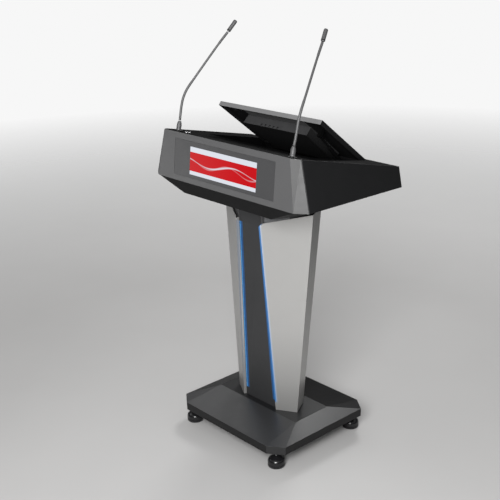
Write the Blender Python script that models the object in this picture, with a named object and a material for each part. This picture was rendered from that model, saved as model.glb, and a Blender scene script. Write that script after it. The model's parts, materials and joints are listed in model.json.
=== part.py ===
"""A digital lectern: a faceted base on levelling feet, a tapered column with silver wings and
light strips, and a wide head with a front display, a tilting monitor and two gooseneck microphones.

Metres, +Z up. The origin is on the floor under the middle of the outline. The audience is at -Y,
the speaker stands at +Y. The coordinates below are measured from the middle of the base, and
the last step moves everything by ORIGIN_Y. Run with: blender --background --python part.py
"""

import math

import bmesh
import bpy
from mathutils import Matrix, Vector

ORIGIN_Y = 0.0096  # from the middle of the base to the middle of the outline
GAP = 0.0003  # between neighbouring solids
SHEET = 0.003  # wall of the folded steel shells

# Base
BASE_HALF_X = 0.280
BASE_HALF_Y = 0.242
BASE_CORNER_X = 0.057
BASE_CORNER_Y = 0.042
BASE_UNDERSIDE_Z = 0.0634
BASE_RIM_Z = 0.0938
PLATEAU_Z = 0.1168
PLATEAU_HALF_X = 0.2084
PLATEAU_FRONT_Y = -0.0789
PLATEAU_BACK_Y = 0.0901
BASE_PLATE_T = 0.005

# Levelling feet
FOOT_X = 0.2295
FOOT_Y = 0.198
FOOT_PAD_R = 0.0315
FOOT_STEM_R = 0.005
FOOT_STEM_TOP = 0.081

# Column: the silver wings' corners at the plateau and at the top of each wing
WING_SHEET = 0.0025
WING_BOTTOM_Z = PLATEAU_Z + GAP
WING_INNER = ((0.0890, -0.0640), (0.0593, -0.1078))
WING_OUTER = ((0.1603, -0.0220), (0.2297, -0.0089))
WING_BACK = ((0.1227, 0.0471), (0.1760, 0.0880))
WING_FLANGE = ((0.0837, -0.0545), (0.0585, -0.0935))
WING_TOP_INNER_Z = 0.8514
WING_TOP_OUTER_Z = 0.8996
WING_CORNER_R = 0.014
COLUMN_TOP_Z = 0.9288
PANEL_TOP_Z = 0.9285
SHROUD_BOTTOM_Z = 0.815
SHROUD_WALL = 0.002
LIGHT_BOTTOM_Z = 0.150
LIGHT_TOP_Z = 0.836
LIGHT_W = 0.014
LIGHT_EDGE = 0.0015
REAR_BOTTOM_Y = 0.0471
REAR_LEAN = 0.0536
DOOR_HALF_X = 0.0865
DOOR_BOTTOM_Z = 0.215
DOOR_TOP_Z = 0.765
DOOR_GAP = 0.0015
KNUCKLE_R = 0.004
KNUCKLE_L = 0.030

# Mast
UPRIGHT_X = 0.060
UPRIGHT_HALF = 0.020
UPRIGHT_WALL = 0.003

# Head: plan corners front, side, back and the heights of its levels
HEAD_TOP = ((0.3210, -0.2081), (0.3452, -0.1845), (0.3771, 0.2612))
HEAD_RIM = ((0.3501, -0.2251), (0.3907, -0.1955), (0.4021, 0.2482))
HEAD_FLOOR = ((0.2264, -0.2041), (0.2400, -0.1900), (0.2400, 0.1300))
HEAD_FRONT_Z = 1.1509
HEAD_RIM_Z = 0.9795
HEAD_FLOOR_Z = 0.9291
DECK_FALL = 0.2240  # fall per metre towards the speaker
DECK_SINK = 0.001
DECK_T = 0.003
FASCIA_T = 0.003

# Front display
WINDOW_HALF_X = 0.258
WINDOW_TOP = 0.0219
WINDOW_H = 0.1298
SCREEN_HALF_X = 0.1710
SCREEN_TOP = 0.0405
SCREEN_H = 0.0980

# Monitor
MONITOR_TILT = math.radians(38.28)
MONITOR_HALF_X = 0.256
MONITOR_LONG = 0.288
MONITOR_T = 0.0167
MONITOR_EDGE = (0.0064, 1.2291)  # y and z of the raised edge, on the glass side
MONITOR_PIVOT = 0.283  # from the raised edge to the hinge axis, at mid thickness
MONITOR_WALL = 0.0025
MONITOR_LIP = 0.0113  # the rim stands this far proud of the back plate
BACK_PLATE_T = 0.001
GLASS_Z = (-0.0026, -0.0006)  # back and front of the touch glass
HOUSING_DEPTH = 0.0239  # below the rim
HOUSING_FRONT = 0.0607  # from the raised edge
VENT_COUNT = 5
VENT_FIRST_X = -0.072
VENT_PITCH = 0.0205
VENT_W = 0.008
VENT_DEPTH = 0.006
PIN_R = 0.003
WELL_HALF_X = 0.262
WELL_FRONT_Y = -0.0565
WELL_BACK_Y = 0.2370
WELL_DEPTH = 0.056

# Stay between the well floor and the monitor
STAY_X = 0.212
STAY_FOOT_Y = 0.180
STAY_FOOT_UP = 0.022
STAY_REACH = 0.220
STAY_DROP = 0.022
STAY_TUBE_R = 0.007
STAY_ROD_R = 0.004
STAY_EYE_R = 0.0075
STAY_EYE_HALF = 0.004
STAY_LOOSE = 0.002

# Microphones
MIC_BASE = (0.2905, -0.1685)
MIC_SLEEVE_L = 0.036
MIC_SLEEVE_R = 0.0088
MIC_NECK_R = 0.0046
MIC_ROUTE = (
    (0.2918, -0.1560, 1.1950),
    (0.2926, -0.1481, 1.2284),
    (0.2910, -0.1389, 1.2584),
    (0.2867, -0.1224, 1.2884),
    (0.2760, -0.0912, 1.3284),
    (0.2472, -0.0117, 1.4284),
    (0.2325, 0.0292, 1.4764),
)
MIC_TIP = (0.2205, 0.0600, 1.5158)
MIC_BEND_GAP = 0.0022
MIC_CAPSULE_R = 0.0072

# Push buttons beside the left microphone
BUTTONS = ((-0.2555, -0.1610), (-0.2530, -0.1490))
BUTTON_R = 0.0042

STEEL_DARK = ("steel_dark", (0.030, 0.031, 0.033), 0.45, 0.3)
STEEL_GREY = ("steel_grey", (0.170, 0.170, 0.172), 0.45, 0.3)
SILVER = ("silver", (0.470, 0.465, 0.450), 0.35, 0.8)
BLACK = ("black", (0.010, 0.010, 0.011), 0.4, 0.0)
GALVANISED = ("galvanised", (0.500, 0.510, 0.520), 0.4, 1.0)
CHROME = ("chrome", (0.700, 0.700, 0.700), 0.15, 1.0)
BLUE_LIGHT = ("blue_light", (0.020, 0.120, 0.420), 0.3, 0.0)
RED_SCREEN = ("red_screen", (0.600, 0.004, 0.008), 0.2, 0.0)
GLASS_BLACK = ("glass_black", (0.006, 0.006, 0.008), 0.08, 0.0)

for old in list(bpy.data.objects):
    bpy.data.objects.remove(old, do_unlink=True)

ALPHA = math.atan(DECK_FALL)
DECK_NORMAL = Vector((0, math.sin(ALPHA), math.cos(ALPHA)))
DECK_DOWN = Vector((0, math.cos(ALPHA), -math.sin(ALPHA)))
X_AXIS = Vector((1, 0, 0))
Z_AXIS = Vector((0, 0, 1))


def material(finish):
    """One Principled material for each finish, made on first use."""
    name, colour, roughness, metallic = finish
    made = bpy.data.materials.get(name)
    if made:
        return made
    made = bpy.data.materials.new(name)
    made.use_nodes = True
    shader = made.node_tree.nodes["Principled BSDF"]
    shader.inputs["Base Color"].default_value = (*colour, 1)
    shader.inputs["Roughness"].default_value = roughness
    shader.inputs["Metallic"].default_value = metallic
    return made


def mesh_object(name, points, faces, finish, pivot=(0, 0, 0)):
    """A closed mesh object with its origin at its pivot."""
    mesh = bpy.data.meshes.new(name)
    origin = Vector(pivot)
    mesh.from_pydata([Vector(p) - origin for p in points], [], faces)
    work = bmesh.new()
    work.from_mesh(mesh)
    bmesh.ops.recalc_face_normals(work, faces=work.faces)
    work.to_mesh(mesh)
    work.free()
    mesh.materials.append(material(finish))
    made = bpy.data.objects.new(name, mesh)
    made.location = origin
    bpy.context.scene.collection.objects.link(made)
    return made


def loft(name, rings, finish, pivot=(0, 0, 0)):
    """Closed solid through rings of equally many points, capped at both ends."""
    count = len(rings[0])
    points = [p for ring in rings for p in ring]
    faces = [tuple(range(count))[::-1], tuple(range(len(points) - count, len(points)))]
    for level in range(len(rings) - 1):
        low = level * count
        for i in range(count):
            j = (i + 1) % count
            faces.append((low + i, low + j, low + count + j, low + count + i))
    return mesh_object(name, points, faces, finish, pivot)


def tub(name, outer, inner, finish):
    """Open shell: outer and inner rings run from the open edge to the closed end."""
    count = len(outer[0])
    points = [p for ring in outer + inner for p in ring]
    inside = len(outer) * count
    faces = []
    for start, rings in ((0, len(outer)), (inside, len(inner))):
        for level in range(rings - 1):
            low = start + level * count
            for i in range(count):
                j = (i + 1) % count
                faces.append((low + i, low + j, low + count + j, low + count + i))
        last = start + (rings - 1) * count
        faces.append(tuple(range(last, last + count)))
    for i in range(count):
        j = (i + 1) % count
        faces.append((i, j, inside + j, inside + i))
    return mesh_object(name, points, faces, finish)


def sleeve(name, outer, inner, finish):
    """Wall between two skins, open at both ends; each skin is a low and a high ring."""
    count = len(outer[0])
    points = [p for ring in (*outer, *inner) for p in ring]
    faces = []
    for i in range(count):
        j = (i + 1) % count
        for a, b in ((0, 1), (1, 3), (3, 2), (2, 0)):
            faces.append((a * count + i, a * count + j, b * count + j, b * count + i))
    return mesh_object(name, points, faces, finish)


def box(name, frame, low, high, finish, pivot=(0, 0, 0)):
    """Box between two corners given in a local frame (a 4x4 matrix)."""
    (x0, y0, z0), (x1, y1, z1) = low, high
    corners = ((x0, y0), (x1, y0), (x1, y1), (x0, y1))
    rings = [[frame @ Vector((x, y, z)) for x, y in corners] for z in (z0, z1)]
    return loft(name, rings, finish, pivot)


def pan(name, frame, low, high, wall, floor, finish):
    """Box open at its high z, with walls and a floor of the given thickness."""
    (x0, y0, z0), (x1, y1, z1) = low, high
    outer = ((x0, y0), (x1, y0), (x1, y1), (x0, y1))
    inner = ((x0 + wall, y0 + wall), (x1 - wall, y0 + wall), (x1 - wall, y1 - wall), (x0 + wall, y1 - wall))
    outer_rings = [[frame @ Vector((x, y, z)) for x, y in outer] for z in (z1, z0)]
    inner_rings = [[frame @ Vector((x, y, z)) for x, y in inner] for z in (z1, z0 + floor)]
    return tub(name, outer_rings, inner_rings, finish)


def lathe(name, frame, profile, finish, sides=16, pivot=(0, 0, 0)):
    """Solid of revolution about the frame's z from (radius, z) points, bottom to top."""
    rings = []
    for radius, z in profile:
        ring = []
        for i in range(sides):
            turn = 2 * math.pi * i / sides
            ring.append(frame @ Vector((radius * math.cos(turn), radius * math.sin(turn), z)))
        rings.append(ring)
    made = loft(name, rings, finish, pivot)
    if sides > 6:
        made.data.shade_smooth()
        made.data.set_sharp_from_angle(angle=math.radians(40))
    return made


def frame_at(point, z_axis, x_axis=X_AXIS):
    """Local frame at a point, with its z and x axes given."""
    z = Vector(z_axis).normalized()
    x = Vector(x_axis)
    x = (x - z * x.dot(z)).normalized()
    turn = Matrix((x, z.cross(x), z)).transposed()
    return Matrix.Translation(Vector(point)) @ turn.to_4x4()


def combine(target, other, operation):
    """Boolean with a helper that is left out of the model."""
    other.hide_render = True
    other.display_type = "WIRE"
    modifier = target.modifiers.new(other.name, "BOOLEAN")
    modifier.operation = operation
    modifier.object = other
    modifier.solver = "EXACT"
    return target


def cut(target, other):
    return combine(target, other, "DIFFERENCE")


def join(target, other):
    return combine(target, other, "UNION")


def lerp(low, high, share):
    return low + (high - low) * share


def inset(points, distances):
    """Polygon with each edge moved to its left by its own distance; edge i runs from point i."""
    lines = []
    for i, start in enumerate(points):
        end = points[(i + 1) % len(points)]
        along = (Vector(end) - Vector(start)).normalized()
        left = Vector((-along.y, along.x))
        lines.append((Vector(start) + left * distances[i], along))
    moved = []
    for i, (start, along) in enumerate(lines):
        before, back = lines[i - 1]
        cross = back.x * along.y - back.y * along.x
        apart = start - before
        step = (apart.x * along.y - apart.y * along.x) / cross
        moved.append(before + back * step)
    return moved


def deck_z(y):
    return HEAD_FRONT_Z - DECK_FALL * (y - HEAD_TOP[0][1])


def deck_frame(x, y, up=0.0):
    """Frame on the sloping top plane: local y runs down the slope, local z is its normal."""
    return frame_at(Vector((x, y, deck_z(y))) + DECK_NORMAL * up, DECK_NORMAL)


def six_sided(corners):
    """Plan ring from the right-hand front, side and back corners."""
    (fx, fy), (sx, sy), (bx, by) = corners
    return [Vector(p) for p in ((-fx, fy), (fx, fy), (sx, sy), (bx, by), (-bx, by), (-sx, sy))]


def octagon(half_x, half_y, corner_x, corner_y):
    right = [
        (half_x - corner_x, -half_y),
        (half_x, -half_y + corner_y),
        (half_x, half_y - corner_y),
        (half_x - corner_x, half_y),
    ]
    return right + [(-x, y) for x, y in reversed(right)]


def both_sides(name):
    return ((name + "_left", -1), (name + "_right", 1))


def mirrored(side, point):
    return Vector((side * point[0], *point[1:]))


# ---------------------------------------------------------------- base


def base_rings(inward, lower):
    """Rim ring, rim top ring and plateau ring of the base cover's outer or inner skin."""
    rim = octagon(BASE_HALF_X - inward, BASE_HALF_Y - inward, BASE_CORNER_X, BASE_CORNER_Y)
    half = PLATEAU_HALF_X - inward
    front, back = PLATEAU_FRONT_Y + inward, PLATEAU_BACK_Y - inward
    near = 0.0004  # the plateau's corners stay this far from being one point
    right = [(half - near, front), (half, front + near), (half, back - near), (half - near, back)]
    plateau = right + [(-x, y) for x, y in reversed(right)]
    return (
        [Vector((x, y, BASE_UNDERSIDE_Z)) for x, y in rim],
        [Vector((x, y, BASE_RIM_Z - lower)) for x, y in rim],
        [Vector((x, y, PLATEAU_Z - lower)) for x, y in plateau],
    )


def make_base():
    cover = tub("base_cover", base_rings(0, 0), base_rings(SHEET, SHEET), STEEL_DARK)
    opening = box("mast_opening", Matrix(), (-0.095, -0.035, 0.09), (0.095, 0.035, 0.13), STEEL_DARK)
    cut(cover, opening)

    inner = octagon(BASE_HALF_X - 0.0035, BASE_HALF_Y - 0.0035, BASE_CORNER_X, BASE_CORNER_Y)
    bottom = BASE_UNDERSIDE_Z + 0.0006
    levels = (bottom, bottom + BASE_PLATE_T)
    plate = loft("base_plate", [[Vector((x, y, z)) for x, y in inner] for z in levels], STEEL_DARK)
    holes = [(x, y, 0.0058) for x in (-FOOT_X, FOOT_X) for y in (-FOOT_Y, FOOT_Y)]
    holes.append((0.0, 0.150, 0.016))
    for number, (x, y, radius) in enumerate(holes):
        at = Matrix.Translation((x, y, bottom - 0.01))
        cut(plate, lathe(f"base_hole_{number}", at, ((radius, 0), (radius, 0.03)), STEEL_DARK, 12))


def make_feet():
    profile = (
        (FOOT_PAD_R - 0.003, 0.0),
        (FOOT_PAD_R, 0.003),
        (FOOT_PAD_R, 0.022),
        (FOOT_PAD_R - 0.004, 0.030),
        (0.018, 0.037),
        (0.0095, 0.041),
        (FOOT_STEM_R, 0.042),
        (FOOT_STEM_R, FOOT_STEM_TOP),
    )
    nut_low = BASE_UNDERSIDE_Z - 0.0092
    nut_high = BASE_UNDERSIDE_Z + 0.0003
    for where, x, y in (
        ("front_left", -FOOT_X, -FOOT_Y),
        ("front_right", FOOT_X, -FOOT_Y),
        ("back_left", -FOOT_X, FOOT_Y),
        ("back_right", FOOT_X, FOOT_Y),
    ):
        at = Matrix.Translation((x, y, 0))
        lathe(f"foot_{where}", at, profile, BLACK, 20, (x, y, 0))
        nut = lathe(f"foot_nut_{where}", at, ((0.0098, nut_low), (0.0098, nut_high)), GALVANISED, 6)
        bore = ((FOOT_STEM_R + 0.0004, nut_low - 0.01), (FOOT_STEM_R + 0.0004, nut_high + 0.01))
        cut(nut, lathe(f"nut_bore_{where}", at, bore, GALVANISED, 16))


# ---------------------------------------------------------------- column


def wing_corners(share, sheet):
    """Sheet outline of the right wing at a share of its height, from 0 at the foot to 1 on top."""
    named = (WING_FLANGE, WING_INNER, WING_OUTER, WING_BACK)
    skin = [Vector((lerp(a[0], b[0], share), lerp(a[1], b[1], share))) for a, b in named]
    inside = []
    for i, point in enumerate(skin):
        before = (point - skin[i - 1]).normalized() if i else None
        after = (skin[i + 1] - point).normalized() if i < len(skin) - 1 else None
        first, second = before or after, after or before
        left = (Vector((-first.y, first.x)) + Vector((-second.y, second.x))).normalized()
        inside.append(point + left * sheet / left.dot(Vector((-second.y, second.x))))
    return skin + inside[::-1]


def wing_top_z(point):
    """The wing's upper edge climbs outwards along its main face."""
    inner, outer = Vector(WING_INNER[1]), Vector(WING_OUTER[1])
    along = (outer - inner).normalized()
    rise = (WING_TOP_OUTER_Z - WING_TOP_INNER_Z) / (outer - inner).length
    return WING_TOP_INNER_Z + rise * (point - inner).dot(along)


def make_wings():
    foot = wing_corners(0, WING_SHEET)
    top = wing_corners(1, WING_SHEET)
    inner, outer = Vector(WING_INNER[1]), Vector(WING_OUTER[1])
    along = (outer - inner).normalized()
    for name, side in both_sides("wing"):
        rings = (
            [Vector((side * p.x, p.y, WING_BOTTOM_Z)) for p in foot],
            [Vector((side * p.x, p.y, wing_top_z(p))) for p in top],
        )
        wing = loft(name, rings, SILVER)
        across = mirrored(side, (along.x, along.y, 0))
        corner = mirrored(side, (inner.x, inner.y, WING_TOP_INNER_Z))
        frame = frame_at(corner, across.cross(Z_AXIS) * side, across)
        radius = WING_CORNER_R
        outline = [(-0.01, 0.01), (-0.01, -radius)]
        for step in range(7):
            turn = math.pi - step * math.pi / 12
            outline.append((radius + radius * math.cos(turn), -radius + radius * math.sin(turn)))
        outline.append((radius, 0.01))
        flat = frame.to_3x3()
        depth = [flat @ Vector((0, 0, d)) for d in (-0.020, 0.010)]
        rings = [[corner + across * u + Z_AXIS * v + d for u, v in outline] for d in depth]
        cut(wing, loft(f"{name}_corner", rings, SILVER))


def panel_edge(z):
    """Half width and front face y of the dark front panel at a height."""
    share = (z - PLATEAU_Z) / (WING_TOP_INNER_Z - PLATEAU_Z)
    half = lerp(WING_FLANGE[0][0], WING_FLANGE[1][0], share) - 0.0006
    y = lerp(WING_FLANGE[0][1], WING_FLANGE[1][1], share)
    return half, y


def make_front_panel():
    rings = []
    for z in (PLATEAU_Z + GAP, PANEL_TOP_Z):
        half, y = panel_edge(z)
        outline = ((-half, y), (half, y), (half, y + 0.012), (half - SHEET, y + 0.012))
        outline += ((half - SHEET, y + SHEET), (-half + SHEET, y + SHEET), (-half + SHEET, y + 0.012))
        outline += ((-half, y + 0.012),)
        rings.append([Vector((x, y, z)) for x, y in outline])
    panel = loft("front_panel", rings, STEEL_DARK)
    for name, side in both_sides("light_strip"):
        bars = []
        for spare, front in ((GAP, -0.01), (0, 0.0002)):
            rings = []
            for z in (LIGHT_BOTTOM_Z - spare, LIGHT_TOP_Z + spare):
                half, y = panel_edge(z)
                near, far = half - LIGHT_EDGE - LIGHT_W - spare, half - LIGHT_EDGE + spare
                back = y + 0.0016 + spare
                ring = ((near, y + front), (far, y + front), (far, back), (near, back))
                rings.append([Vector((side * x, y, z)) for x, y in ring])
            bars.append(rings)
        cut(panel, loft(f"{name}_groove", bars[0], STEEL_DARK))
        loft(name, bars[1], BLUE_LIGHT)


def rear_y(z):
    return REAR_BOTTOM_Y + REAR_LEAN * (z - PLATEAU_Z)


def rear_frame(x, z, out=0.0):
    """Frame on the rear skin: local y points out to the speaker, local z up the skin."""
    up = Vector((0, REAR_LEAN, 1)).normalized()
    outward = Vector((0, 1, -REAR_LEAN)).normalized()
    return frame_at(Vector((x, rear_y(z), z)) + outward * out, up)


def make_rear():
    rings = []
    for z in (PLATEAU_Z + GAP, PANEL_TOP_Z - 0.05):
        share = (z - PLATEAU_Z) / (WING_TOP_OUTER_Z - PLATEAU_Z)
        half = lerp(WING_BACK[0][0], WING_BACK[1][0], share) - 0.0042
        y = rear_y(z) - 0.0006
        slope = 0.0018
        outline = ((-half, y), (-half + slope, y - SHEET), (half - slope, y - SHEET), (half, y))
        rings.append([Vector((x, y, z)) for x, y in outline])
    panel = loft("rear_panel", rings, STEEL_DARK)
    low, high = DOOR_BOTTOM_Z, DOOR_TOP_Z
    middle = (low + high) / 2
    half_z = (high - low) / 2
    frame = rear_frame(0, middle)
    spare = DOOR_GAP
    size = (DOOR_HALF_X + spare, 0.02, half_z + spare)
    cut(panel, box("door_opening", frame, [-s for s in size], size, STEEL_DARK))

    hinge_x = -(DOOR_HALF_X + spare / 2)
    hinge_out = KNUCKLE_R + 0.0006
    pivot = rear_frame(hinge_x, middle, hinge_out).translation
    door_low = (-DOOR_HALF_X, -0.0006 - SHEET, -half_z)
    door = box("rear_door", frame, door_low, (DOOR_HALF_X, -0.0006, half_z), STEEL_DARK, pivot)
    for number in range(6):
        z = -0.19 + number * 0.014
        slot = box(f"door_vent_{number}", frame, (-0.045, -0.02, z), (0.045, 0.02, z + 0.005), STEEL_DARK)
        cut(door, slot)
    for name, z in (("door_hinge_lower", low + 0.08), ("door_hinge_upper", high - 0.08)):
        at = rear_frame(hinge_x, z, hinge_out)
        skin = -hinge_out - 0.0006
        fixed = lathe(name, at, ((KNUCKLE_R, -KNUCKLE_L), (KNUCKLE_R, -GAP)), STEEL_DARK, 12)
        low_leaf = (-0.026, skin + GAP, -KNUCKLE_L)
        join(fixed, box(f"{name}_leaf", at, low_leaf, (-0.001, skin + 0.0024, -GAP), STEEL_DARK))
        knuckle = ((KNUCKLE_R, GAP), (KNUCKLE_R, KNUCKLE_L))
        join(door, lathe(f"{name}_knuckle", at, knuckle, STEEL_DARK, 12))
        low_leaf = (0.001, skin - 0.001, GAP)
        join(door, box(f"{name}_door_leaf", at, low_leaf, (0.026, skin + 0.0024, KNUCKLE_L), STEEL_DARK))

    lock_at = rear_frame(0.070, middle, 0)
    bore = lathe("lock_bore", lock_at @ Matrix.Rotation(math.radians(-90), 4, "X"),
                 ((0.0085, -0.02), (0.0085, 0.02)), STEEL_DARK, 16)
    cut(door, bore)
    barrel_axis = lock_at @ Matrix.Rotation(math.radians(-90), 4, "X")
    profile = ((0.0082, -0.016), (0.0082, -0.0006), (0.0105, -0.0002), (0.0100, 0.0022), (0.0060, 0.0030))
    lock = lathe("door_lock", barrel_axis, profile, CHROME, 16, lock_at.translation)
    cam = box("lock_cam", lock_at, (-0.006, -0.019, -0.006), (0.006, -0.0155, 0.034), CHROME)
    join(lock, cam)
    key = box("lock_keyway", lock_at, (-0.0009, 0.0005, -0.0035), (0.0009, 0.01, 0.0035), CHROME)
    cut(lock, key)

    inlet_at = rear_frame(0, 0.160)
    opening = box("inlet_opening", inlet_at, (-0.0255, -0.02, -0.0145), (0.0255, 0.02, 0.0145), STEEL_DARK)
    cut(panel, opening)
    inlet = box("power_inlet", inlet_at, (-0.025, -0.030, -0.014), (0.025, -0.0003, 0.014), BLACK)
    flange = box("inlet_flange", inlet_at, (-0.030, -0.0003, -0.018), (0.030, 0.0022, 0.018), BLACK)
    join(inlet, flange)
    cut(inlet, box("inlet_socket", inlet_at, (-0.021, -0.016, -0.0090), (0.003, 0.01, 0.0090), BLACK))
    cut(inlet, box("rocker_socket", inlet_at, (0.008, -0.012, -0.0105), (0.022, 0.01, 0.0105), BLACK))
    rocker_z = 0.0088
    rocker_at = rear_frame(0, 0.160)
    outline = ((-rocker_z, 0.0012), (0.0, -0.0008), (rocker_z, 0.0046), (rocker_z * 0.72, -0.0060),
               (-rocker_z * 0.72, -0.0060))
    rings = [[rocker_at @ Vector((x, y, z)) for z, y in outline] for x in (0.0084, 0.0216)]
    loft("power_rocker", rings, BLACK, rocker_at @ Vector((0.015, -0.002, 0)))


def make_mast():
    floor = BASE_UNDERSIDE_Z + 0.0006 + BASE_PLATE_T + GAP
    flange_t = 0.006
    box("mast_base_flange", Matrix(), (-0.090, -0.030, floor), (0.090, 0.030, floor + flange_t), GALVANISED)
    top = COLUMN_TOP_Z - flange_t
    box("mast_head_flange", Matrix(), (-0.095, -0.040, top), (0.095, 0.040, COLUMN_TOP_Z), GALVANISED)
    for name, side in both_sides("mast_upright"):
        middle = side * UPRIGHT_X
        size = UPRIGHT_HALF
        low = (middle - size, -size, floor + flange_t + GAP)
        upright = box(name, Matrix(), low, (middle + size, size, top - GAP), GALVANISED)
        size -= UPRIGHT_WALL
        low, high = (middle - size, -size, 0), (middle + size, size, top + 0.1)
        bore = box(f"{name}_bore", Matrix(), low, high, GALVANISED)
        cut(upright, bore)
    outline = six_sided(((0.0600, -0.0760), (0.150, -0.0440), (0.120, 0.0700)))
    levels = (SHROUD_BOTTOM_Z, COLUMN_TOP_Z - 0.0004)
    inside = inset(outline, [SHROUD_WALL] * 6)
    skins = [[[Vector((*p, z)) for p in ring] for z in levels] for ring in (outline, inside)]
    sleeve("neck_shroud", *skins, STEEL_GREY)
    box("power_supply", Matrix(), (-0.036, -0.030, 0.300), (0.036, 0.030, 0.480), GALVANISED)
    box("computer", Matrix(), (-0.130, -0.150, 0.9335), (0.130, 0.070, 0.975), STEEL_GREY)


# ---------------------------------------------------------------- head


def head_ring(corners, level, distances):
    """Ring of the head's skin; a level of None lies on the sloping top plane."""
    plan = inset(six_sided(corners), distances)
    return [Vector((p.x, p.y, deck_z(p.y) if level is None else level)) for p in plan]


def face_frame(x, down, out=0.0):
    """Frame on the front face: local y runs up the face, local z points to the audience."""
    top, rim = Vector((0, HEAD_TOP[0][1], HEAD_FRONT_Z)), Vector((0, HEAD_RIM[0][1], HEAD_RIM_Z))
    fall = (rim - top).normalized()
    outward = fall.cross(X_AXIS).normalized()
    if outward.y > 0:
        outward.negate()
    return frame_at(top + fall * down + outward * out + X_AXIS * x, outward)


def make_head_shell():
    front = FASCIA_T + GAP
    skin = [front, front, 0, 0, 0, front]
    wall = [d + SHEET for d in skin]
    plain = [0.0] * 6
    outer = [
        head_ring(HEAD_TOP, None, skin),
        head_ring(HEAD_RIM, HEAD_RIM_Z, skin),
        head_ring(HEAD_FLOOR, HEAD_FLOOR_Z, plain),
    ]
    inner = [
        head_ring(HEAD_TOP, None, wall),
        head_ring(HEAD_RIM, HEAD_RIM_Z + 0.001, wall),
        head_ring(HEAD_FLOOR, HEAD_FLOOR_Z + SHEET, [SHEET] * 6),
    ]
    shell = tub("head_shell", outer, inner, STEEL_DARK)
    frame = face_frame(0, WINDOW_TOP + WINDOW_H / 2)
    half_x, half_y = WINDOW_HALF_X + 0.006, WINDOW_H / 2 + 0.004
    cut(shell, box("module_opening", frame, (-half_x, -half_y, -0.03), (half_x, half_y, 0.01), STEEL_DARK))
    hole = box("cable_opening", Matrix(), (-0.035, -0.010, 0.90), (0.035, 0.010, 0.94), STEEL_DARK)
    cut(shell, hole)

    rings = []
    for corners, level in ((HEAD_RIM, HEAD_RIM_Z), (HEAD_TOP, None)):
        outer_ring = head_ring(corners, level, plain)
        t = FASCIA_T
        inner_ring = head_ring(corners, level, [t, t, 0, 0, 0, t])
        order = (5, 0, 1, 2)
        rings.append([outer_ring[i] for i in order] + [inner_ring[i] for i in reversed(order)])
    fascia = loft("front_fascia", rings, STEEL_GREY)
    half_x, half_y = WINDOW_HALF_X, WINDOW_H / 2
    cut(fascia, box("window_opening", frame, (-half_x, -half_y, -0.02), (half_x, half_y, 0.01), STEEL_GREY))


def make_front_display():
    frame = face_frame(0, WINDOW_TOP + WINDOW_H / 2)
    half_x, half_y = WINDOW_HALF_X - GAP, WINDOW_H / 2 - GAP
    bezel = box("display_bezel", frame, (-half_x, -half_y, -0.0035), (half_x, half_y, -0.0005), GLASS_BLACK)
    middle = WINDOW_TOP + WINDOW_H / 2 - (SCREEN_TOP + SCREEN_H / 2)
    size = (SCREEN_HALF_X, SCREEN_H / 2)
    low = (-size[0] - GAP, middle - size[1] - GAP, -0.01)
    high = (size[0] + GAP, middle + size[1] + GAP, 0.01)
    cut(bezel, box("screen_opening", frame, low, high, GLASS_BLACK))
    rings = []
    for extra, z in ((0.025, -0.0240), (0.025, -0.0045), (0, -0.0045), (0, -0.0008)):
        half_x, half_y = size[0] + extra, size[1] + min(extra, 0.010)
        ring = ((-half_x, -half_y), (half_x, -half_y), (half_x, half_y), (-half_x, half_y))
        rings.append([frame @ Vector((x, middle + y, z)) for x, y in ring])
    loft("front_display", rings, RED_SCREEN)


def make_deck():
    wall = FASCIA_T + GAP + SHEET + GAP
    side, back = SHEET + 0.0006, SHEET + 0.0020
    plan = inset(six_sided(HEAD_TOP), [wall, wall, side, back, side, wall])
    rings = []
    for down in (DECK_SINK + DECK_T, DECK_SINK):
        rings.append([Vector((p.x, p.y, deck_z(p.y) - down / math.cos(ALPHA))) for p in plan])
    deck = loft("top_deck", rings, STEEL_DARK)
    frame = deck_frame(0, 0)
    slope = 1 / math.cos(ALPHA)
    v0, v1 = WELL_FRONT_Y * slope, WELL_BACK_Y * slope
    cut(deck, box("monitor_opening", frame, (-WELL_HALF_X, v0, -0.02), (WELL_HALF_X, v1, 0.02), STEEL_DARK))
    holes = [("mic_hole_left", -MIC_BASE[0], MIC_BASE[1], 0.0080)]
    holes.append(("mic_hole_right", MIC_BASE[0], MIC_BASE[1], 0.0080))
    for number, (x, y) in enumerate(BUTTONS):
        holes.append((f"button_hole_{number}", x, y, BUTTON_R + 0.0003))
    for name, x, y, radius in holes:
        cut(deck, lathe(name, deck_frame(x, y), ((radius, -0.02), (radius, 0.02)), STEEL_DARK, 16))
    wall = 0.002
    under = DECK_SINK + DECK_T + GAP
    low = (-WELL_HALF_X - wall - 0.0005, v0 - wall - 0.0005, -WELL_DEPTH - wall)
    high = (WELL_HALF_X + wall + 0.0005, v1 + wall + 0.0005, -under)
    pan("monitor_well", frame, low, high, wall, wall, STEEL_DARK)
    for number, (x, y) in enumerate(BUTTONS):
        at = deck_frame(x, y)
        flange = BUTTON_R + 0.001
        profile = ((flange, -0.0072), (flange, -0.0056), (BUTTON_R, -0.0056), (BUTTON_R, 0.0008))
        profile += ((BUTTON_R - 0.0012, 0.0014),)
        lathe(f"push_button_{number + 1}", at, profile, CHROME, 16, at.translation)


# ---------------------------------------------------------------- monitor


def monitor_axes():
    along = Vector((0, math.cos(MONITOR_TILT), -math.sin(MONITOR_TILT)))
    down = Vector((0, -math.sin(MONITOR_TILT), -math.cos(MONITOR_TILT)))
    return along, down


def monitor_frame():
    """Local y runs from the raised edge to the hinge, local z out of the glass."""
    return frame_at(Vector((0, *MONITOR_EDGE)), -monitor_axes()[1])


def monitor_pivot():
    along, down = monitor_axes()
    return Vector((0, *MONITOR_EDGE)) + along * MONITOR_PIVOT + down * MONITOR_T / 2


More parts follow.
